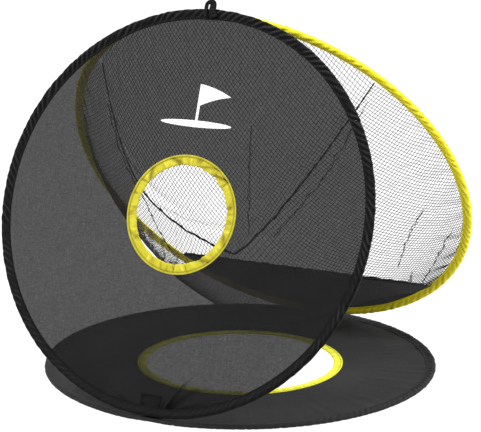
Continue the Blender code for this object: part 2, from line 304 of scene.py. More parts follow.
def bake(obj):
    """Applies an object's modifiers to its mesh."""
    graph = bpy.context.evaluated_depsgraph_get()
    graph.update()
    made = bpy.data.meshes.new_from_object(obj.evaluated_get(graph), depsgraph=graph)
    made.name = obj.data.name
    obj.modifiers.clear()
    obj.data = made


def joined_mesh(name, verts, faces):
    mesh = bpy.data.meshes.new(name)
    mesh.from_pydata(verts, [], faces)
    mesh.shade_smooth()
    return mesh


# ---------------------------------------------------------------- materials
class Finish:
    """A Principled material with shorthand for its procedural nodes."""

    def __init__(self, name, roughness, coords="UV", shine=0.12):
        self.mat = bpy.data.materials.new(name)
        self.mat.use_nodes = True
        self.tree = self.mat.node_tree
        self.shader = self.tree.nodes["Principled BSDF"]
        self.shader.inputs["Roughness"].default_value = roughness
        self.shader.inputs["Specular IOR Level"].default_value = shine
        self.coords = self.node("ShaderNodeTexCoord").outputs
        self.place = self.coords[coords]

    def node(self, kind, **settings):
        made = self.tree.nodes.new(kind)
        for key, value in settings.items():
            setattr(made, key, value)
        return made

    def feed(self, socket, value):
        if isinstance(value, bpy.types.NodeSocket):
            self.tree.links.new(value, socket)
        else:
            socket.default_value = value

    def maths(self, operation, a, b=0.0):
        made = self.node("ShaderNodeMath", operation=operation)
        self.feed(made.inputs[0], a)
        self.feed(made.inputs[1], b)
        return made.outputs[0]

    def add(self, a, b):
        return self.maths("ADD", a, b)

    def times(self, a, b):
        return self.maths("MULTIPLY", a, b)

    def cloud(self, scale, detail):
        """Noise from 0 to 1, with its scale in cycles to a metre."""
        made = self.node("ShaderNodeTexNoise")
        self.feed(made.inputs["Vector"], self.coords["Object"])
        made.inputs["Scale"].default_value = scale
        made.inputs["Detail"].default_value = detail
        return made.outputs["Fac"]

    def streaks(self, scale):
        """Noise stretched along one axis of the cloth, like uneven yarns."""
        placed = self.node("ShaderNodeMapping")
        placed.inputs["Scale"].default_value = scale
        self.feed(placed.inputs["Vector"], self.place)
        made = self.node("ShaderNodeTexNoise")
        made.inputs["Scale"].default_value = 1.0
        made.inputs["Detail"].default_value = 2.0
        self.feed(made.inputs["Vector"], placed.outputs["Vector"])
        return made.outputs["Fac"]

    def wave(self, along, pitch):
        """A sine along a coordinate, from -1 to 1."""
        return self.maths("SINE", self.times(along, math.tau / pitch))

    def axes(self):
        made = self.node("ShaderNodeSeparateXYZ")
        self.feed(made.inputs[0], self.place)
        return made.outputs

    def weave(self, pitch):
        """Threads over and under one another, from -1 to 1."""
        across = self.axes()
        return self.times(self.wave(across[0], pitch), self.wave(across[1], pitch))

    def between(self, share, low, high):
        """Low at 0 and high at 1."""
        made = self.node("ShaderNodeMapRange")
        self.feed(made.inputs["Value"], share)
        made.inputs["To Min"].default_value = low
        made.inputs["To Max"].default_value = high
        return made.outputs["Result"]

    def stored(self, name):
        """A number painted on the mesh."""
        return self.node("ShaderNodeAttribute", attribute_name=name).outputs["Fac"]

    def colour(self, share, dark, light):
        made = self.node("ShaderNodeMix", data_type="RGBA")
        self.feed(made.inputs["Factor"], share)
        made.inputs["A"].default_value = (*dark, 1.0)
        made.inputs["B"].default_value = (*light, 1.0)
        self.tint = made.outputs["Result"]
        self.feed(self.shader.inputs["Base Color"], self.tint)

    def toward(self, share, colour):
        """Shifts the colour toward another one where the share is high."""
        made = self.node("ShaderNodeMix", data_type="RGBA")
        self.feed(made.inputs["Factor"], share)
        self.feed(made.inputs["A"], self.tint)
        made.inputs["B"].default_value = (*colour, 1.0)
        self.tint = made.outputs["Result"]
        self.feed(self.shader.inputs["Base Color"], self.tint)

    def relief(self, height, distance):
        made = self.node("ShaderNodeBump")
        made.inputs["Distance"].default_value = distance
        made.inputs["Strength"].default_value = 1.0
        self.feed(made.inputs["Height"], height)
        self.feed(self.shader.inputs["Normal"], made.outputs["Normal"])


def shade(colour, factor):
    return tuple(min(1.0, c * factor) for c in colour)


def cloth_finish(name, colour, roughness, pitch, relief, spread, shine):
    """Plain-woven cloth with patches a little paler and darker."""
    made = Finish(name, roughness, "UV", shine)
    over = made.weave(pitch)
    slub = made.cloud(900.0, 3.0)
    patches = made.cloud(30.0, 4.0)
    grain = made.between(made.cloud(330.0, 2.0), -0.45, 0.45)
    height = made.add(over, made.times(slub, 0.8))
    mottled = made.add(made.add(made.times(over, 0.18), patches), grain)
    made.colour(mottled, shade(colour, 1 - spread), shade(colour, 1 + spread))
    made.relief(height, relief)
    wear = made.between(slub, roughness - 0.08, roughness + 0.10)
    made.feed(made.shader.inputs["Roughness"], wear)
    return made


def sheer_finish(name, colour, low, high):
    """Fine mesh cloth that light passes through between its threads, less so where it is gathered; there its
    colour is also darkened toward black as painted shade.
    """
    made = cloth_finish(name, colour, 0.7, 0.0014, 0.00012, 0.3, 0.04)
    yarns = made.add(made.streaks((900.0, 45.0, 1.0)), made.streaks((45.0, 900.0, 1.0)))
    uneven = made.maths("SUBTRACT", made.add(made.cloud(420.0, 2.0), made.times(yarns, 0.5)), 1.0)
    share = made.add(made.times(uneven, 0.6), 0.5)
    gathered = made.stored("gather")
    cover = made.add(made.between(share, low, high), made.times(gathered, 0.22))
    made.feed(made.shader.inputs["Alpha"], made.maths("MINIMUM", cover, 1.0))
    # Painted shade: where gathered, the colour is darkened toward black.
    made.toward(made.times(gathered, 0.9), (0.002, 0.002, 0.002))
    return made


def painted_light_cloth_finish(name, colour, ridge, crease, roughness, shine):
    """Sleeve and binding cloth: a painted highlight on its folds' crests and painted shade in the folds'
    valleys and puckers.
    """
    made = cloth_finish(name, colour, roughness, 0.0009, 0.00007, 0.14, shine)
    # Painted highlight: paler colour where the ridge mask is high.
    made.toward(made.stored("ridge"), ridge)
    # Painted shade: darker colour where the crease mask is high.
    made.toward(made.stored("crease"), crease)
    return made


def webbing_finish(name, colour):
    """Narrow woven tape with ribs across it."""
    made = cloth_finish(name, colour, 0.6, 0.0011, 0.00014, 0.25, 0.08)
    ribs = made.wave(made.axes()[0], 0.0022)
    made.relief(ribs, 0.0002)
    return made


def steel_finish():
    """Drawn spring steel with fine lengthwise scratches."""
    made = Finish("spring_steel_wire", 0.34)
    grain = made.cloud(420.0, 4.0)
    made.colour(grain, (0.42, 0.43, 0.45), (0.62, 0.63, 0.66))
    made.feed(made.shader.inputs["Roughness"], made.between(grain, 0.24, 0.44))
    made.shader.inputs["Metallic"].default_value = 1.0
    made.relief(grain, 0.00004)
    return made


def print_finish():
    """Screen print: chalky ink with the cloth's weave pressed through it."""
    made = Finish("screen_print_white", 0.6)
    weave = made.weave(0.0014)
    worn = made.cloud(260.0, 3.0)
    made.colour(made.add(made.times(weave, 0.2), worn), (0.70, 0.70, 0.70), (0.93, 0.93, 0.92))
    made.relief(weave, 0.0001)
    return made


def thread_finish(name, colour, roughness):
    """Twisted yarn."""
    made = Finish(name, roughness, "Object")
    fibres = made.cloud(1500.0, 2.0)
    made.colour(fibres, shade(colour, 0.7), shade(colour, 1.4))
    made.relief(fibres, 0.00008)
    return made


# Each sleeve and binding cloth: its own colour, then a paler colour for the painted highlight on its fold
# crests and a darker one for the painted shade in its folds' valleys, puckers and sewn line.
BLACK_SLEEVE = painted_light_cloth_finish("sleeve_black_cloth", (0.0026, 0.0026, 0.0028), (0.038, 0.038, 0.039),
                               (0.001, 0.001, 0.001), 0.38, 0.06).mat
BASE_SLEEVE = painted_light_cloth_finish("base_sleeve_black_cloth", (0.017, 0.017, 0.018), (0.050, 0.050, 0.051),
                              (0.003, 0.003, 0.003), 0.6, 0.08).mat
YELLOW_SLEEVE = painted_light_cloth_finish("sleeve_yellow_cloth", (0.78, 0.68, 0.012), (0.92, 0.85, 0.12),
                                (0.42, 0.33, 0.004), 0.5, 0.15).mat
# The front binding is the same yellow tape as the base binding; its darker colours are painted shade.
FRONT_BINDING = painted_light_cloth_finish("front_binding_yellow_cloth", (0.44, 0.39, 0.018), (0.60, 0.56, 0.05),
                                (0.17, 0.14, 0.004), 0.5, 0.15).mat
BASE_BINDING = painted_light_cloth_finish("base_binding_yellow_cloth", (0.80, 0.79, 0.036), (0.92, 0.92, 0.20),
                               (0.45, 0.42, 0.01), 0.5, 0.15).mat
BLACK_PANEL = cloth_finish("panel_black_cloth", (0.027, 0.027, 0.028), 0.7, 0.0011, 0.00010, 0.25, 0.08).mat
SHEER_BLACK = sheer_finish("panel_sheer_mesh", (0.0120, 0.0120, 0.0123), 0.60, 0.90).mat
SEGMENT_CLOTH = sheer_finish("segment_sheer_cloth", (0.019, 0.019, 0.0195), 0.80, 0.99).mat
WEBBING = webbing_finish("webbing_black_ribbed", (0.0036, 0.0036, 0.0038)).mat
NET_THREAD = thread_finish("net_thread", (0.020, 0.020, 0.0205), 0.6).mat
BLACK_THREAD = thread_finish("sewing_thread_black", (0.002, 0.002, 0.0022), 0.6).mat
YELLOW_THREAD = thread_finish("sewing_thread_yellow", (0.40, 0.34, 0.02), 0.5).mat
PRINT = print_finish().mat
STEEL = steel_finish().mat


# ---------------------------------------------------------------- sleeves and bindings
def section_half(share, half, lip_half, nose_share):
    """Half thickness of a folded band, from its nose at 0 to its sewn lips at 1."""
    if share < nose_share:
        inward = 1 - share / nose_share
        return half * math.sqrt(max(0.0, 1 - inward * inward))
    return half + (lip_half - half) * smooth_step((share - nose_share) / (1 - nose_share))


def pucker_depth(angle, share, nose, width, puckers):
    """How deep the sewing's pinches draw a band in, from 0 to 1; each has an angle, a lean and a size."""
    deep = 0.0
    for degrees, lean, size in puckers:
        turn = angle - math.radians(degrees) - lean * (share - 0.5) * width / nose
        turn = (turn + math.pi) % math.tau - math.pi
        deep += size * math.exp(-(turn * nose / PUCKER_REACH) ** 2)
    return deep * math.sin(math.pi * min(1.0, 0.2 + 0.8 * share))


def hinge_hold(disc, angle):
    """How much a sleeve is drawn in by the strap that wraps it, from 0 to 1."""
    if disc is ground or math.cos(angle) < 0:
        return math.exp(-(math.sin(angle) * disc.radius / HINGE_PINCH_REACH) ** 2)
    return 0.0


def crosses(disc, angle):
    """Whether a sleeve lies over or under another one here when the back hoop is opened out."""
    facing = math.cos(angle) > 0 if disc is ground else disc is back and math.cos(angle) < 0
    return facing and abs(math.sin(angle)) * disc.radius < CROSSING_REACH


def band(name, disc, centre_y, edges, halves, folds, slant, depth, wander, seed, columns, rows, calm=0.0,
         puckers=()):
    """A band of cloth folded round a circle.

    Its edges are the radii of its nose and its sewn lips, and its halves are half its thickness near
    each. With calm, its folds fade toward the circle's foot.
    """
    nose, lip = edges
    half, lip_half = halves
    width = abs(lip - nose)
    nose_share = half / width
    outward = math.copysign(1, nose - lip)
    is_sleeve = nose == disc.radius
    painted_highlights, painted_shades = [], []

    def place(u, v):
        angle = math.tau * u
        side = 1.0 if v <= 0.5 else -1.0
        share = (1 - math.cos(math.tau * v)) / 2
        drift = 1.3 * ring_noise(angle, 3.0, seed) + 0.35 * ring_noise(angle, 14.0, seed + 3)
        phase = folds * u + slant * share * side + drift
        swell = max(0.12, 0.60 + 1.0 * ring_noise(angle, 12.0, seed + 11))
        wave = abs(math.sin(math.pi * phase))
        fold = swell * (1.9 * wave ** 0.7 - 1.2)
        small = ring_noise(angle, 60.0, seed + 20 + 2 * share * side)
        pull = 0.35 + 0.65 * math.sin(math.pi * min(1.0, share / 0.92))
        pull *= 1 - calm * (1 - smooth_step((math.cos(angle) + 1.05) / 0.9))
        drawn = pucker_depth(angle, share, nose, width, puckers)
        height = section_half(share, half, lip_half, nose_share)
        height *= 1 + depth * pull * (fold + 0.35 * small)
        height *= 1 - 0.5 * math.exp(-((share - SEWN_SHARE) / 0.05) ** 2)
        height *= 1 - 0.45 * math.exp(-((angle - JOIN_ANGLE) * nose / 0.0008) ** 2)
        radius = nose + (lip - nose) * share
        radius += wander * (1 - share) * (0.6 * fold + 1.4 * ring_noise(angle, 22.0, seed + 5)) * outward
        radius -= PUCKER_DEPTH * drawn * (1 - share) * outward
        if is_sleeve:
            held = hinge_hold(disc, angle)
            radius -= HINGE_PINCH * held * (1 - share) * outward
            height *= 1 - HINGE_FLATTENING * held
        if is_sleeve and crosses(disc, angle):
            height = min(height, CROSSING_HEIGHT * half)
        point = disc.at(radius, angle, side * height - PUCKER_DEPTH * drawn, centre_y)
        point.z = max(point.z, FLOOR_CLEARANCE)
        # Painted highlight: one flank of each fold is made paler, less on the pinched puckers.
        flank = math.sin(math.tau * (phase - 0.16))
        painted_highlights.append(max(0.0, flank) ** 5 * min(1.0, 1.3 * swell) * pull * (1 - min(1.0, 2 * drawn)))
        # Painted shade: darker in the folds' valleys, in the puckers and along the pinched sewn line.
        sewn = 0.8 * math.exp(-((share - SEWN_SHARE) / 0.035) ** 2)
        painted_shades.append(min(1.0, max(0.0, 1 - 2.4 * wave) * min(1.0, swell) * pull + 1.2 * drawn + sewn))
        return point

    size = (math.tau * max(nose, lip), 2 * width)
    mesh = grid_mesh(name, columns, rows, place, size, wrap_columns=True, wrap_rows=True)
    # The painted highlight and painted shade masks are stored as the ridge and crease attributes.
    for title, values in (("ridge", painted_highlights), ("crease", painted_shades)):
        mesh.attributes.new(title, "FLOAT", "POINT").data.foreach_set("value", values)
    face_outward(mesh)
    return mesh


def stitches(name, rows, mat, body):
    """Sewn rows in one piece: each is its points, its normal, its stitches' length and their half width."""
    verts, faces = [], []
    for points, normal, length, half in rows:
        for start, ahead in zip(points, points[1:]):
            along = ahead - start
            across = along.normalized().cross(normal)
            base = len(verts)
            tip = along * (length / along.length)
            verts += [start, start + tip]
            for x, z in ((1, 0), (0, 1), (-1, 0), (0, -1)):
                verts.append(start + tip * 0.5 + across * x * half + normal * z * half)
            for a, b in ((2, 3), (3, 4), (4, 5), (5, 2)):
                faces.append((base, base + b, base + a))
                faces.append((base + 1, base + a, base + b))
    mesh = joined_mesh(name, verts, faces)
    face_outward(mesh)
    piece(name, mesh, mat, body)


def stitch_circle(name, disc, centre_y, radius, height, mat):
    """A row of stitches round both faces of a band."""
    count = round(math.tau * radius / STITCH_PITCH)
    rows = []
    for side in (1.0, -1.0):
        points = [disc.at(radius, math.tau * i / count, side * height, centre_y) for i in range(count + 1)]
        rows.append((points, disc.normal * side, STITCH_LENGTH, STITCH_HALF))
    stitches(name, rows, mat, disc.body)


def sleeve(disc, mat, thread, folds, slant, depth, seed, calm):
    """The cloth tube round a hoop's wire, gathered along its stitching."""
    prefix = disc.body
    edges = (disc.radius, disc.radius - SLEEVE_WIDTH)
    halves = (SLEEVE_HALF, SLEEVE_LIP_HALF)
    mesh = band(prefix + "_sleeve", disc, 0.0, edges, halves, folds, slant, depth, 0.0005, seed, 1440, 24,
                calm)
    piece(prefix + "_sleeve_cloth", mesh, mat, prefix, [prefix + "_hoop_sleeve"])
    height = 0.66 * section_half(SEWN_SHARE, *halves, SLEEVE_HALF / SLEEVE_WIDTH)
    radius = disc.radius - SLEEVE_WIDTH * SEWN_SHARE
    stitch_circle(prefix + "_sleeve_stitching", disc, 0.0, radius, height, thread)


def binding(disc, mat, folds, depth, seed, puckers=()):
    """Bright tape folded over the edge of a target's hole."""
    outer, width, centre_y = hole_of(disc)
    prefix = disc.body + "_binding"
    edges = (outer - width, outer)
    halves = (BINDING_HALF, BINDING_LIP_HALF)
    mesh = band(prefix + "_tape", disc, centre_y, edges, halves, folds, 0.25, depth, 0.0010, seed, 720, 20,
                puckers=puckers)
    piece(prefix + "_tape", mesh, mat, disc.body, [disc.body + "_target_binding"])
    height = BINDING_LIP_HALF + 0.0002
    stitch_circle(prefix + "_stitching", disc, centre_y, outer - BINDING_SEWN, height, YELLOW_THREAD)


sleeve(ground, BASE_SLEEVE, BLACK_THREAD, 170, 1.0, 0.45, 2.0, 0.7)
sleeve(front, BLACK_SLEEVE, BLACK_THREAD, 150, 1.6, 0.60, 5.0, 0.7)
sleeve(back, YELLOW_SLEEVE, YELLOW_THREAD, 130, 1.5, 0.58, 9.0, 0.0)
binding(front, FRONT_BINDING, 12, 0.6, 13.0,
        ((-46, 1.0, 0.8), (-15, -1.0, 0.9), (26, 2.0, 0.7), (43, 1.5, 1.0), (74, -0.8, 0.45), (112, 1.0, 0.7),
         (141, -1.0, 0.8), (-118, 1.2, 0.5)))
binding(ground, BASE_BINDING, 52, 0.34, 17.0)


# ---------------------------------------------------------------- panels
def crease(x, y, route, width):
    """A ridge from 0 to 1 along a bent line, strongest at its start."""
    best, travelled = 0.0, 0.0
    total = route_length(route)
    here = Vector((x, y))
    for start, end in zip(route, route[1:]):
        line = end - start
        near = min(1.0, max(0.0, (here - start).dot(line) / line.length_squared))
        away = (here - start - line * near).length
        share = (travelled + near * line.length) / total
        best = max(best, (1 - smooth_step(share)) * math.exp(-(away / width) ** 2))
        travelled += line.length
    return best


# Folds at the front panel's foot: three points (across, up from the hinge), a width and a height.
PULLS = (
    ((-0.030, 0.008), (-0.048, 0.020), (-0.066, 0.030), 0.0024, 0.0014),
    ((0.018, 0.010), (0.022, 0.024), (0.026, 0.036), 0.0016, 0.0016),
    ((0.024, 0.011), (0.043, 0.043), (0.068, 0.072), 0.0019, 0.0038),
    ((0.030, 0.012), (0.054, 0.034), (0.084, 0.052), 0.0042, -0.0022),
    ((0.036, 0.009), (0.066, 0.022), (0.104, 0.036), 0.0030, 0.0022),
)


def front_pulls(x, y):
    """The folds pulled up by the foot strap, each from 0 to 1, with its height."""
    foot = (front.inverse @ front.hinge).y
    for first, middle, last, width, height in PULLS:
        route = [Vector((px, foot + up)) for px, up in (first, middle, last)]
        yield crease(x, y, route, width), height


def front_relief(x, y):
    """How far the front panel stands off its plane."""
    z = 0.0010 * rough(x * 9, y * 9, 1.0)
    return z + sum(share * height for share, height in front_pulls(x, y))


def front_bunching_and_painted_shade(x, y):
    """How far the front panel's cloth is bunched up, from 0 to 1, along its pulled folds and round the
    strap's stitched box; the sheer is denser there and its colour is darkened as painted shade.
    """
    up = y - (front.inverse @ front.hinge).y
    beside = abs(abs(x) - STRAP_BOX_WIDTH / 2)
    above = abs(up - STRAP_BOX_START - STRAP_BOX_HEIGHT)
    inside_x = abs(x) < STRAP_BOX_WIDTH / 2 + 0.001
    inside_y = STRAP_BOX_START < up < STRAP_BOX_START + STRAP_BOX_HEIGHT + 0.001
    upright = math.exp(-(beside / 0.0011) ** 2) * inside_y
    level = math.exp(-(above / 0.0010) ** 2) * inside_x
    return min(1.0, max(upright, level) + sum(share * 0.9 for share, _ in front_pulls(x, y)))


def ground_relief(x, y):
    """Ripples of the base panel where its hoop pulls it unevenly."""
    angle = math.atan2(x, y)
    radius = math.hypot(x, y)
    share = smooth_step((radius - 0.17) / 0.09)
    spokes = ring_noise(angle, 6.0, 31.0) * math.sin(41 * angle + 3 * ring_noise(angle, 2.0, 7.0))
    fine = ring_noise(angle, 15.0, 12.0) * math.sin(97 * angle + 2 * ring_noise(angle, 5.0, 9.0))
    return 0.0019 * share * (spokes + 0.45 * fine) + 0.0007 * rough(x * 14, y * 14, 4.0)


def flat_uv(mesh, disc):
    """A UV map in metres in the disc's own plane."""
    layer = mesh.uv_layers[0].data
    for loop in mesh.loops:
        local = disc.inverse @ mesh.vertices[loop.vertex_index].co
        layer[loop.index].uv = (local.x, local.y)


def holed_panel(disc, name, relief, mat, thickness, gather=None):
    """A round panel with its target hole, tucked into the sleeve and the binding.

    A panel with gathers has its points closer together at its foot, where they are finest.
    """
    crowding = 0.8 if gather else 0.0
    outer, _, centre_y = hole_of(disc)
    hole = outer - BINDING_BITE
    rim = disc.radius - SLEEVE_WIDTH + PANEL_TUCK

    def place(u, v):
        angle = math.tau * u + crowding * math.sin(math.tau * u)
        share = 1 - (1 - v) ** 1.15
        x = math.sin(angle) * (hole + (rim - hole) * share)
        y = centre_y * (1 - share) + math.cos(angle) * (hole + (rim - hole) * share)
        tied = smooth_step((1 - v) / 0.06) * smooth_step(v / 0.08)
        return disc.world(x, y, relief(x, y) * tied)

    mesh = grid_mesh(name, 400, 120, place, (1.0, 1.0), wrap_columns=True)
    flat_uv(mesh, disc)
    if gather:
        # The stored gather mask makes the sheer denser and darkens its colour as painted shade.
        paint(mesh, "gather", lambda co: gather(*(disc.inverse @ co).xy))
    made = piece(name, mesh, mat, disc.body, [disc.body + "_panel"])
    thicken(made, thickness)


holed_panel(front, "front_panel_mesh", front_relief, SHEER_BLACK, FRONT_PANEL_THICKNESS,
            front_bunching_and_painted_shade)
holed_panel(ground, "ground_panel_cloth", ground_relief, BLACK_PANEL, GROUND_PANEL_THICKNESS)

for node in ("ground", "front", "back"):
    for part in ("_hoop_wire", "_hoop_ferrule"):
        slots = frame["nodes"][node + part].data.materials
        slots.clear()
        slots.append(STEEL)


# ---------------------------------------------------------------- the net pocket
NET_RADIUS = back.radius - NET_TUCK
SHOULDER = back.at(NET_RADIUS, SHOULDER_ANGLE)
SEGMENT_TOP = (back.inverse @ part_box("back_panel_tape")[0]).y
TAPE_TOP = SEGMENT_TOP + CHORD_TAPE_WIDTH


def seam_point(s):
    """The seam hangs from shoulder to shoulder; s runs from -1 to 1. Its left side hangs fuller."""
    rise = 0.38 * abs(s) ** 1.35 + 0.62 * abs(s) ** 6.5 if s < 0 else s ** 1.2
    height = SEAM_BOTTOM + (SHOULDER.z - SEAM_BOTTOM) * rise
    sway = 0.006 * rough(s * 3.1, 0.0, 2.0) * (1 - s * s)
    return Vector((SHOULDER.x * s, SHOULDER.y + sway, height))


def upper_edge(s):
    return back.at(NET_RADIUS, SHOULDER_ANGLE * s)


def lower_edge(s):
    """From one shoulder down the hoop, along the segment's tape and up the other side."""
    half = math.sqrt(NET_RADIUS ** 2 - TAPE_TOP ** 2)
    if abs(s) < NET_CORNER:
        return back.world(half * s / NET_CORNER, TAPE_TOP - 0.0045)
    foot = math.pi / 2 - math.asin(TAPE_TOP / NET_RADIUS)
    share = (abs(s) - NET_CORNER) / (1 - NET_CORNER)
    return back.at(NET_RADIUS, math.copysign(foot + (SHOULDER_ANGLE - foot) * share, s))


class Netting:
    """A net panel between an edge and the seam: its cut, laid flat, and its hanging shape."""

    def __init__(self, edge, columns, rows, span=0.985):
        self.columns, self.rows = columns, rows
        self.flat, self.solid = [], []
        for i in range(columns + 1):
            s = span * (2 * i / columns - 1)
            low, high = seam_point(s), edge(s)
            for j in range(rows + 1):
                point = low.lerp(high, j / rows)
                local = back.inverse @ point
                self.flat.append(Vector((local.x, local.y, 0.0)))
                self.solid.append(point)
        self.quads = []
        for i in range(columns):
            for j in range(rows):
                a = i * (rows + 1) + j
                self.quads.append((a, a + 1, a + rows + 2, a + rows + 1))
        self.triangles = []
        for a, b, c, d in self.quads:
            self.triangles += [(a, b, c), (a, c, d)]

    def share_point(self, s, t):
        """The cut's point at s from -1 to 1 across the net and t from its seam at 0 to its edge at 1."""
        i = round((s + 1) / 2 * self.columns)
        low, high = self.flat[i * (self.rows + 1)], self.flat[i * (self.rows + 1) + self.rows]
        point = low.lerp(high, t)
        return point.x, point.y

    def area(self):
        """Area of the whole net surface, its holes included."""
        return sum(
            (self.solid[b] - self.solid[a]).cross(self.solid[c] - self.solid[a]).length / 2
            for a, b, c in self.triangles
        )

    def sag(self, depth):
        """The bag that the net is cut to, deepest in its middle."""
        for i in range(self.columns + 1):
            s = 2 * i / self.columns - 1
            for j in range(self.rows + 1):
                t = j / self.rows
                self.solid[i * (self.rows + 1) + j].z -= 4 * depth * t * (1 - t) * (1 - s * s) ** SAG_POWER

    def drape(self, slack, frames):
        """Lets gravity pull the slack cloth down between its sewn edges."""
        mesh = joined_mesh("drape", self.solid, self.quads)
        obj = bpy.data.objects.new("drape", mesh)
        bpy.context.scene.collection.objects.link(obj)
        last_row, last_column = self.rows, self.columns
        sewn = [
            i * (self.rows + 1) + j
            for i in range(self.columns + 1)
            for j in range(self.rows + 1)
            if i in (0, last_column) or j in (0, last_row)
        ]
        obj.vertex_groups.new(name="sewn").add(sewn, 1.0, "REPLACE")
        cloth = obj.modifiers.new("Cloth", "CLOTH")
        settings = cloth.settings
        settings.quality = 7
        settings.mass = 0.08
        settings.tension_stiffness = 12.0
        settings.compression_stiffness = 6.0
        settings.shear_stiffness = 1.5
        settings.bending_stiffness = 0.02
        settings.air_damping = 3.0
        settings.shrink_min = -slack
        settings.vertex_group_mass = "sewn"
        cloth.point_cache.frame_end = frames
        for step in range(1, frames + 1):
            bpy.context.scene.frame_set(step)
        graph = bpy.context.evaluated_depsgraph_get()
        hung = obj.evaluated_get(graph).data
        self.solid = [v.co.copy() for v in hung.vertices]
        bpy.data.objects.remove(obj)
        bpy.context.scene.frame_set(1)


class Knitter:
    """Lays diagonal strands over a net's flat cut and lifts them onto its hanging shape."""

    def __init__(self, net, half):
        self.net = net
        self.half = half
        self.tree = BVHTree.FromPolygons(net.flat, net.triangles)
        self.verts, self.faces = [], []

    def lift(self, x, y):
        """The point of the hanging net over a point of its cut, with the net's normal there."""
        where = Vector((x, y, 0.0))
        hit, _, index, distance = self.tree.find_nearest(where)
        if distance > 1e-6:
            return None
        flat = [self.net.flat[k] for k in self.net.triangles[index]]
        solid = [self.net.solid[k] for k in self.net.triangles[index]]
        normal = (solid[1] - solid[0]).cross(solid[2] - solid[0])
        if normal.length < 1e-14:
            return None
        return barycentric_transform(hit, *flat, *solid), normal.normalized()

    def edge_point(self, inside, outside):
        """Where a strand leaves the cut, by halving."""
        for _ in range(7):
            middle = ((inside[0] + outside[0]) / 2, (inside[1] + outside[1]) / 2)
            if self.lift(*middle):
                inside = middle
            else:
                outside = middle
        return self.lift(*inside)

    def strand(self, nodes):
        """One diagonal: open tubes along each stretch of it that lies on the cut."""
        run = []
        before = None
        for node in nodes:
            found = self.lift(*node)
            if found:
                if not run and before is not None:
                    run.append(self.edge_point(node, before))
                run.append(found)
            elif run:
                run.append(self.edge_point(before, node))
                self.tube(run)
                run = []
            before = node
        if run:
            self.tube(run)

    def tube(self, run):
        points = [run[0]]
        for sample in run[1:]:
            if (sample[0] - points[-1][0]).length > 0.0004:
                points.append(sample)
        if len(points) < 2:
            return
        base = len(self.verts)
        for k, (point, normal) in enumerate(points):
            along = points[min(k + 1, len(points) - 1)][0] - points[max(k - 1, 0)][0]
            across = along.cross(normal).normalized()
            for x, z in ((1, 1), (-1, 1), (-1, -1), (1, -1)):
                self.verts.append(point + (across * x + normal * z) * self.half)
        for k in range(len(points) - 1):
            for side in range(4):
                a = base + 4 * k + side
                b = base + 4 * k + (side + 1) % 4
                self.faces.append((a, b, b + 4, a + 4))

    def knit(self, width, height):
        xs = [p.x for p in self.net.flat]
        ys = [p.y for p in self.net.flat]
        left = math.floor(min(xs) / width * 2) - 1
        right = math.ceil(max(xs) / width * 2) + 1
        low = math.floor(min(ys) / height * 2) - 1
        high = math.ceil(max(ys) / height * 2) + 1
        count = right - left

        def node(i, j):
            x, y = i * width / 2, j * height / 2
            return (x + 0.0009 * rough(x * 90, y * 90, 3.0),
                    y + 0.0009 * rough(x * 90, y * 90, 8.0))

        for way in (1, -1):
            for start in range(low - count, high + count + 1):
                if (start + left) % 2 == 0:
                    self.strand([node(left + k, start + way * k) for k in range(count + 1)])

    def pleat(self, route):
        """A pinch of netting along a line of the cut, given by (across, down) shares of the net."""
        corners = [self.net.share_point(s, t) for s, t in route]
        steps = 70
        points = smooth_path([Vector((x, y, 0.0)) for x, y in corners], steps)
        for strand in range(3):
            nodes = []
            for k, point in enumerate(points):
                loose = 0.0032 * math.sin(math.pi * k / steps) + 0.0010
                nodes.append((point.x + loose * rough(k * 0.21, strand * 5.0, 1.0),
                              point.y + loose * rough(k * 0.21, strand * 5.0, 7.0)))
            self.strand(nodes)


NET_MEASURES = {}


def netting(name, net, cell_height, node, sag, pleats):
    """One knitted net: bagged to its cut, hung under gravity and pleated."""
    net.sag(sag)
    grown = 1 + NET_SLACK
    cut_area = net.area() * grown ** 2
    width = (max(p.x for p in net.flat) - min(p.x for p in net.flat)) * grown
    middle = net.columns // 2 * (net.rows + 1)
    run = sum((net.solid[middle + j + 1] - net.solid[middle + j]).length for j in range(net.rows)) * grown
    length = max(run, cut_area / width)
    net.drape(NET_SLACK, DRAPE_FRAMES)
    knitter = Knitter(net, THREAD_HALF)
    knitter.knit(CELL_WIDTH, cell_height)
    for pleat in pleats:
        knitter.pleat(pleat)
    mesh = joined_mesh(name, knitter.verts, knitter.faces)
    made = piece(name, mesh, NET_THREAD, None, [node])
    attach(made, "back")
    hung_over_cut = net.area() / cut_area
    NET_MEASURES[name] = {"cut": [width, length], "cut_area": cut_area, "hung_over_cut": hung_over_cut}
    fold_flat(made)


def fold_flat(obj):
    """Gives the piece its own copy of its mesh."""
    tuple(back.normal)
    tuple(back.centre)
    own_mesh(obj)


# Pleats pinched into the nets, each a line of (across from -1 to 1, down from 0 to 1) shares.
UPPER_PLEATS = (
    ((0.09, 0.05), (0.14, 0.28), (0.18, 0.54)),
)
LOWER_PLEATS = (
    ((-0.68, 0.04), (-0.60, 0.10), (-0.55, 0.15), (-0.46, 0.22)),
    ((-0.56, 0.62), (-0.50, 0.70), (-0.45, 0.55)),
    ((-0.82, 0.95), (-0.76, 0.83), (-0.71, 0.61), (-0.68, 0.50)),
    ((0.69, 0.69), (0.61, 0.62), (0.53, 0.63)),
    ((0.65, 0.92), (0.57, 0.85), (0.49, 0.86)),
    ((0.52, 0.73), (0.49, 0.77), (0.45, 0.84)),
    ((-0.94, 0.12), (-0.84, 0.07), (-0.66, 0.05)),
    ((0.92, 0.10), (0.60, 0.06), (0.26, 0.05)),
)


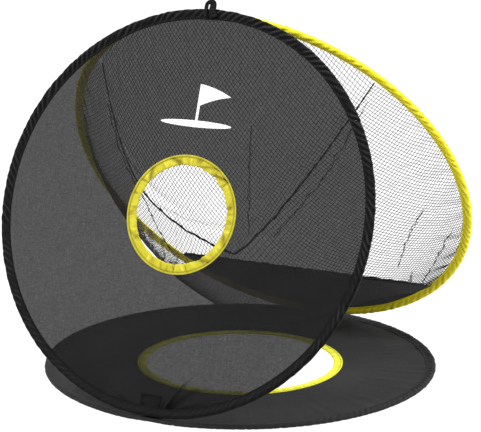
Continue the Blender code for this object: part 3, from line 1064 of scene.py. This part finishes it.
def seam_cord():
    """The gathered tape where the upper and lower nets are sewn together."""
    steps, sides = 420, 10
    points = [seam_point(0.992 * (2 * i / steps - 1)) for i in range(steps + 1)]

    def place(u, v):
        i = round(u * steps)
        along = heading(points, i)
        side = along.cross(Vector((0.0, 1.0, 0.0))).normalized()
        depth = side.cross(along).normalized()
        s = 2 * u - 1
        gather = 1 + 0.8 * rough(u * 95, 0.0, 5.0) + 0.25 * math.sin(math.tau * 150 * u)
        taper = 0.62 + 0.38 * (1 - s * s)
        angle = math.tau * v + 0.8 * rough(u * 40, 1.0, 6.0)
        wander = 0.0022 * rough(u * 30, 4.0, 1.0) * (1 - s * s)
        reach = 0.0013 * gather * taper
        flattened = side * math.cos(angle) * 1.25 + depth * math.sin(angle) * 0.8
        return points[i] + flattened * reach + side * wander

    mesh = closed_tube("net_seam", steps, sides, place, (route_length(points), 0.012))
    made = piece("net_seam_tape_gathered", mesh, WEBBING, "back", ["net_seam_tape"])
    fold_flat(made)


netting("net_upper", Netting(upper_edge, 84, 40), CELL_HEIGHT, "net_upper_panel", 0.0, UPPER_PLEATS)
netting("net_lower", Netting(lower_edge, 110, 56), CELL_HEIGHT * LOWER_CELL_SHARE, "net_lower_panel",
        LOWER_NET_SAG, LOWER_PLEATS)
seam_cord()


# ---------------------------------------------------------------- the back hoop's solid segment
def segment_panel():
    """Sheer cloth filling the foot of the back hoop."""
    rim = back.radius - SLEEVE_WIDTH + PANEL_TUCK
    half = math.sqrt(rim ** 2 - SEGMENT_TOP ** 2)

    def place(u, v):
        x = half * (2 * u - 1)
        foot = -math.sqrt(max(0.0, rim ** 2 - x * x))
        y = foot + (SEGMENT_TOP + SEGMENT_TUCK - foot) * v
        inside = smooth_step(min(u, 1 - u) / 0.06) * smooth_step(v / 0.15) * smooth_step((1 - v) / 0.12)
        wave = 0.0016 * math.sin(x * 62 + 2 * rough(x * 8, y * 8, 0.0))
        return back.world(x, y, wave * inside)

    mesh = grid_mesh("back_segment", 160, 24, place, (1.0, 1.0))
    flat_uv(mesh, back)
    made = piece("back_segment_cloth", mesh, SEGMENT_CLOTH, "back", ["back_lower_panel"])
    thicken(made, SEGMENT_THICKNESS)


def segment_tape():
    """The frayed tape along the segment's straight edge."""
    low_half = math.sqrt((back.radius - SLEEVE_WIDTH) ** 2 - SEGMENT_TOP ** 2) - 0.0005

    def place(u, v):
        x = low_half * (2 * u - 1)
        side = 1.0 if v < 0.5 else -1.0
        share = 2 * v if v < 0.5 else 2 * (1 - v)
        fray = 0.0012 * rough(x * 210, 0.0, 1.0) + 0.0007 * rough(x * 620, 0.0, 4.0)
        y = SEGMENT_TOP + CHORD_TAPE_WIDTH * share + fray * smooth_step(share)
        wave = 0.0006 * math.sin(x * 240 + 3 * rough(x * 20, 0.0, 0.0))
        return back.world(x, y, wave + side * 0.0007 * math.sqrt(max(0.0, math.sin(math.pi * share))))

    mesh = closed_tube("segment_tape", 420, 14, place, (2 * low_half, 0.018))
    piece("back_segment_tape", mesh, WEBBING, "back", ["back_panel_tape"])


segment_panel()
segment_tape()


# ---------------------------------------------------------------- straps, ties, loop and print
def strap_mesh(name, route, width, thickness, steps):
    """Webbing along a route in the YZ plane: a flat section with round, slightly wavy edges."""
    sides = 24
    points = smooth_path(route, steps)

    def place(u, v):
        i = round(u * steps)
        out = RIGHT.cross(heading(points, i).normalized())
        angle = math.tau * v
        across = math.copysign(abs(math.cos(angle)) ** 0.35, math.cos(angle)) * width / 2
        across *= 1 + 0.012 * rough(u * 16, math.copysign(1, across), 2.0)
        buckle = 0.0004 * rough(u * 9, across * 70, 6.0) * math.sin(math.pi * u)
        return points[i] + Vector((across, 0, 0)) + out * (thickness / 2 * math.sin(angle) + buckle)

    return closed_tube(name, steps, sides, place, (route_length(points), 2 * width))


def box_stitches(name, corner, up, out, width, height, body, thread):
    """A sewn box with a cross in it, standing just proud of a strap."""
    far = corner + RIGHT * width
    corners = [corner, far, far + up * height, corner + up * height]
    rows = []
    for a, b in ((0, 1), (1, 2), (2, 3), (3, 0), (0, 2), (1, 3)):
        start, end = corners[a], corners[b]
        count = max(2, round((end - start).length / BOX_STITCH_PITCH))
        points = [start.lerp(end, i / count) for i in range(count + 1)]
        rows.append((points, out, BOX_STITCH_LENGTH, thread))
    stitches(name, rows, BLACK_THREAD, body)


def hinge_strap(disc, inner, base_over_sleeve):
    """One strap from the ground panel round the hinge to the standing disc."""
    inward = math.copysign(1.0, -disc.hinge.y)
    side = disc.normal * inner
    low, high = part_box(disc.body + "_hinge_base_tab")
    far, near = (high.y, low.y) if inward > 0 else (low.y, high.y)
    if base_over_sleeve:
        laid = ((far, STRAP_OVER_PANEL), (far - inward * 0.012, STRAP_OVER_PANEL),
                (near + inward * 0.008, STRAP_OVER_SLEEVE), (near + inward * 0.003, STRAP_OVER_SLEEVE))
    else:
        laid = ((far, STRAP_OVER_PANEL), (far - inward * 0.018, STRAP_OVER_PANEL),
                (near + inward * 0.006, STRAP_OVER_PANEL))
    route = [Vector((0.0, y, ground.centre.z + height)) for y, height in laid]
    start = route[-1].copy()
    for along, height in ((STRAP_BEND, STRAP_OVER_SLEEVE), (STRAP_STEP, STRAP_OVER_SLEEVE),
                          (STRAP_LAND, STRAP_OVER_PANEL), (STRAP_REACH, STRAP_OVER_PANEL)):
        route.append(disc.hinge + disc.up * along + side * height)
    name = disc.body + "_hinge_strap"
    mesh = strap_mesh(name, route, STRAP_WIDTH, STRAP_THICKNESS, 90)
    made = piece(name, mesh, WEBBING, None,
                 [disc.body + "_hinge_tab", disc.body + "_hinge_base_tab"])
    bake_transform(made)
    # The outer box's stitches are drawn wide: real stitching whose black thread also stands for the shadow
    # along the box's edges, a painted shade.
    for face, suffix, lift, thread in (
            (side, "_strap_stitching", STRAP_OVER_PANEL + STRAP_THICKNESS / 2 + 0.0001, 0.00045),
            (-side, "_strap_stitching_outer", 0.0014, 0.0007)):
        corner = disc.hinge + disc.up * STRAP_BOX_START + face * lift - RIGHT * (STRAP_BOX_WIDTH / 2)
        box_stitches(disc.body + suffix, corner, disc.up, face, STRAP_BOX_WIDTH, STRAP_BOX_HEIGHT, disc.body,
                     thread)


def top_tab(disc):
    """Half of the tie between the hoops: a tab sewn across the sleeve's inner face."""
    low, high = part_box(disc.body + "_top_tab")
    middle = (low + high) / 2
    along = disc.up * TOP_TAB_HALF
    route = [middle + along * share for share in (1, 0.3, -0.3, -1)]
    name = disc.body + "_top_tie"
    mesh = strap_mesh(name, route, TOP_TAB_WIDTH, TOP_TAB_THICKNESS, 24)
    piece(name, mesh, WEBBING, disc.body, [disc.body + "_top_tab"])


def hanging_loop():
    """A folded elastic loop: narrow left leg, arch, and a wider right leg, sewn to the sleeve's face."""
    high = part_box("hanging_loop")[1]
    rise = (high.z - front.world(0.0, front.radius).z) / front.up.z - LOOP_BELOW_CAD
    arch_y = front.radius + rise - LOOP_LEFT_HALF - LOOP_LEG_X
    foot_y = front.radius - LOOP_SEWN
    middle_y = (foot_y + arch_y) / 2
    left, right = LOOP_X - LOOP_LEG_X, LOOP_X + LOOP_LEG_X
    route = [(left, foot_y), (left, middle_y)]
    for k in range(9):
        angle = math.pi * (1 - k / 8)
        route.append((LOOP_X + LOOP_LEG_X * math.cos(angle), arch_y + LOOP_LEG_X * math.sin(angle)))
    route += [(right, middle_y), (right + LOOP_LEAN, foot_y)]
    steps, sides = 110, 20
    points = smooth_path([Vector((x, y, 0.0)) for x, y in route], steps)

    def place(u, v):
        i = round(u * steps)
        along = heading(points, i).normalized()
        across = Vector((along.y, -along.x, 0))
        half = LOOP_LEFT_HALF + (LOOP_RIGHT_HALF - LOOP_LEFT_HALF) * smooth_step((u - 0.35) / 0.35)
        half *= 1 + 0.22 * smooth_step((u - 0.85) / 0.15)
        half *= 1 + 0.06 * rough(u * 14, 0, 3)
        angle = math.tau * v
        flat = math.copysign(abs(math.cos(angle)) ** 0.6, math.cos(angle))
        local = points[i] + across * flat * half
        return front.world(local.x, local.y, LOOP_LIFT + LOOP_THICK_HALF * math.sin(angle))

    mesh = closed_tube("hanging_loop_elastic", steps, sides, place, (route_length(points), 0.02))
    piece("hanging_loop_elastic", mesh, WEBBING, "front", ["hanging_loop"])
    corner = front.world(right - 0.0026, foot_y + 0.0012, LOOP_LIFT + LOOP_THICK_HALF)
    box_stitches("loop_stitching", corner, front.up, front.normal, 0.0052, 0.006, "front", 0.0003)


def print_mark():
    """A generic pennant on a putting green, printed in chalky white ink."""
    node = frame["nodes"]["front_print_mark"]
    local = [front.inverse @ v.co for v in node.data.vertices]
    width = max(p.x for p in local) - min(p.x for p in local)
    top = max(p.y for p in local)
    bottom = min(p.y for p in local)
    green = 0.0048
    base = bottom + green
    pole, fly, hoist = 0.0020, 0.046, 0.030

    def inked(x, y):
        ragged = 0.00022 * rough(x * 900, y * 900, 2.0)
        return front.world(x + ragged, y + ragged, front_relief(x, y) + PRINT_LIFT)

    def pole_place(u, v):
        return inked(pole * (2 * u - 1), base + green * 0.6 + (top - base - green * 0.6) * v)

    def flag_place(u, v):
        share = 0.99 * u
        wave = 0.0022 * math.sin(3.0 * u)
        return inked(pole + fly * share, top - hoist / 2 + wave + (v - 0.5) * hoist * (1 - share))

    def green_place(u, v):
        x = 0.998 * (2 * u - 1)
        return inked(width / 2 * x, base + green * math.sqrt(1 - x * x) * (2 * v - 1))

    joined = bmesh.new()
    for place, columns, rows in ((pole_place, 4, 40), (flag_place, 40, 24), (green_place, 90, 8)):
        joined.from_mesh(grid_mesh("ink", columns, rows, place, (1.0, 1.0)))
    mesh = bpy.data.meshes.new("front_print")
    joined.to_mesh(mesh)
    joined.free()
    mesh.shade_smooth()
    made = piece("front_print_ink", mesh, PRINT, "front", ["front_print_mark"])
    thicken(made, PRINT_THICKNESS)


hinge_strap(front, -1.0, True)
hinge_strap(back, 1.0, False)
top_tab(front)
top_tab(back)
hanging_loop()
print_mark()


# ---------------------------------------------------------------- floor, light and camera
def floor():
    mesh = joined_mesh("floor", [(-8, -8, 0), (8, -8, 0), (8, 8, 0), (-8, 8, 0)], [(0, 1, 2, 3)])
    obj = bpy.data.objects.new("floor", mesh)
    bpy.context.scene.collection.objects.link(obj)
    mat = bpy.data.materials.new("floor_paper")
    mat.use_nodes = True
    shader = mat.node_tree.nodes["Principled BSDF"]
    shader.inputs["Base Color"].default_value = (0.12, 0.12, 0.12, 1.0)
    shader.inputs["Specular IOR Level"].default_value = 0.0
    shader.inputs["Emission Color"].default_value = (1.0, 1.0, 1.0, 1.0)
    shader.inputs["Emission Strength"].default_value = 0.96
    mesh.materials.append(mat)


def area_light(name, place, size, power):
    data = bpy.data.lights.new(name, "AREA")
    data.shape = "DISK"
    data.size = size
    data.energy = power
    obj = bpy.data.objects.new(name, data)
    obj.location = place
    obj.rotation_euler = (CAMERA_AIM - Vector(place)).to_track_quat("-Z", "Y").to_euler()
    bpy.context.scene.collection.objects.link(obj)


def studio():
    scene = bpy.context.scene
    scene.view_settings.view_transform = "Standard"
    world = bpy.data.worlds.new("studio_white")
    world.use_nodes = True
    world.node_tree.nodes["Background"].inputs["Color"].default_value = (1.0, 1.0, 1.0, 1.0)
    world.node_tree.nodes["Background"].inputs["Strength"].default_value = 1.0
    scene.world = world
    area_light("key", (-1.1, -1.6, 2.3), 0.8, 62.0)
    area_light("top", (0.7, 0.8, 2.6), 1.0, 45.0)
    area_light("side", (2.4, 0.2, 1.3), 0.9, 34.0)


def camera():
    data = bpy.data.cameras.new("camera")
    data.lens = CAMERA_LENS
    data.sensor_width = 36.0
    obj = bpy.data.objects.new("camera", data)
    level = Vector((math.sin(CAMERA_AZIMUTH), -math.cos(CAMERA_AZIMUTH), 0.0))
    way = level * math.cos(CAMERA_ELEVATION) + Vector((0.0, 0.0, math.sin(CAMERA_ELEVATION)))
    obj.location = CAMERA_AIM + way * CAMERA_DISTANCE
    obj.rotation_euler = (-way).to_track_quat("-Z", "Y").to_euler()
    bpy.context.scene.collection.objects.link(obj)
    bpy.context.scene.camera = obj


floor()
studio()
camera()

print("NET_MEASURES", NET_MEASURES)
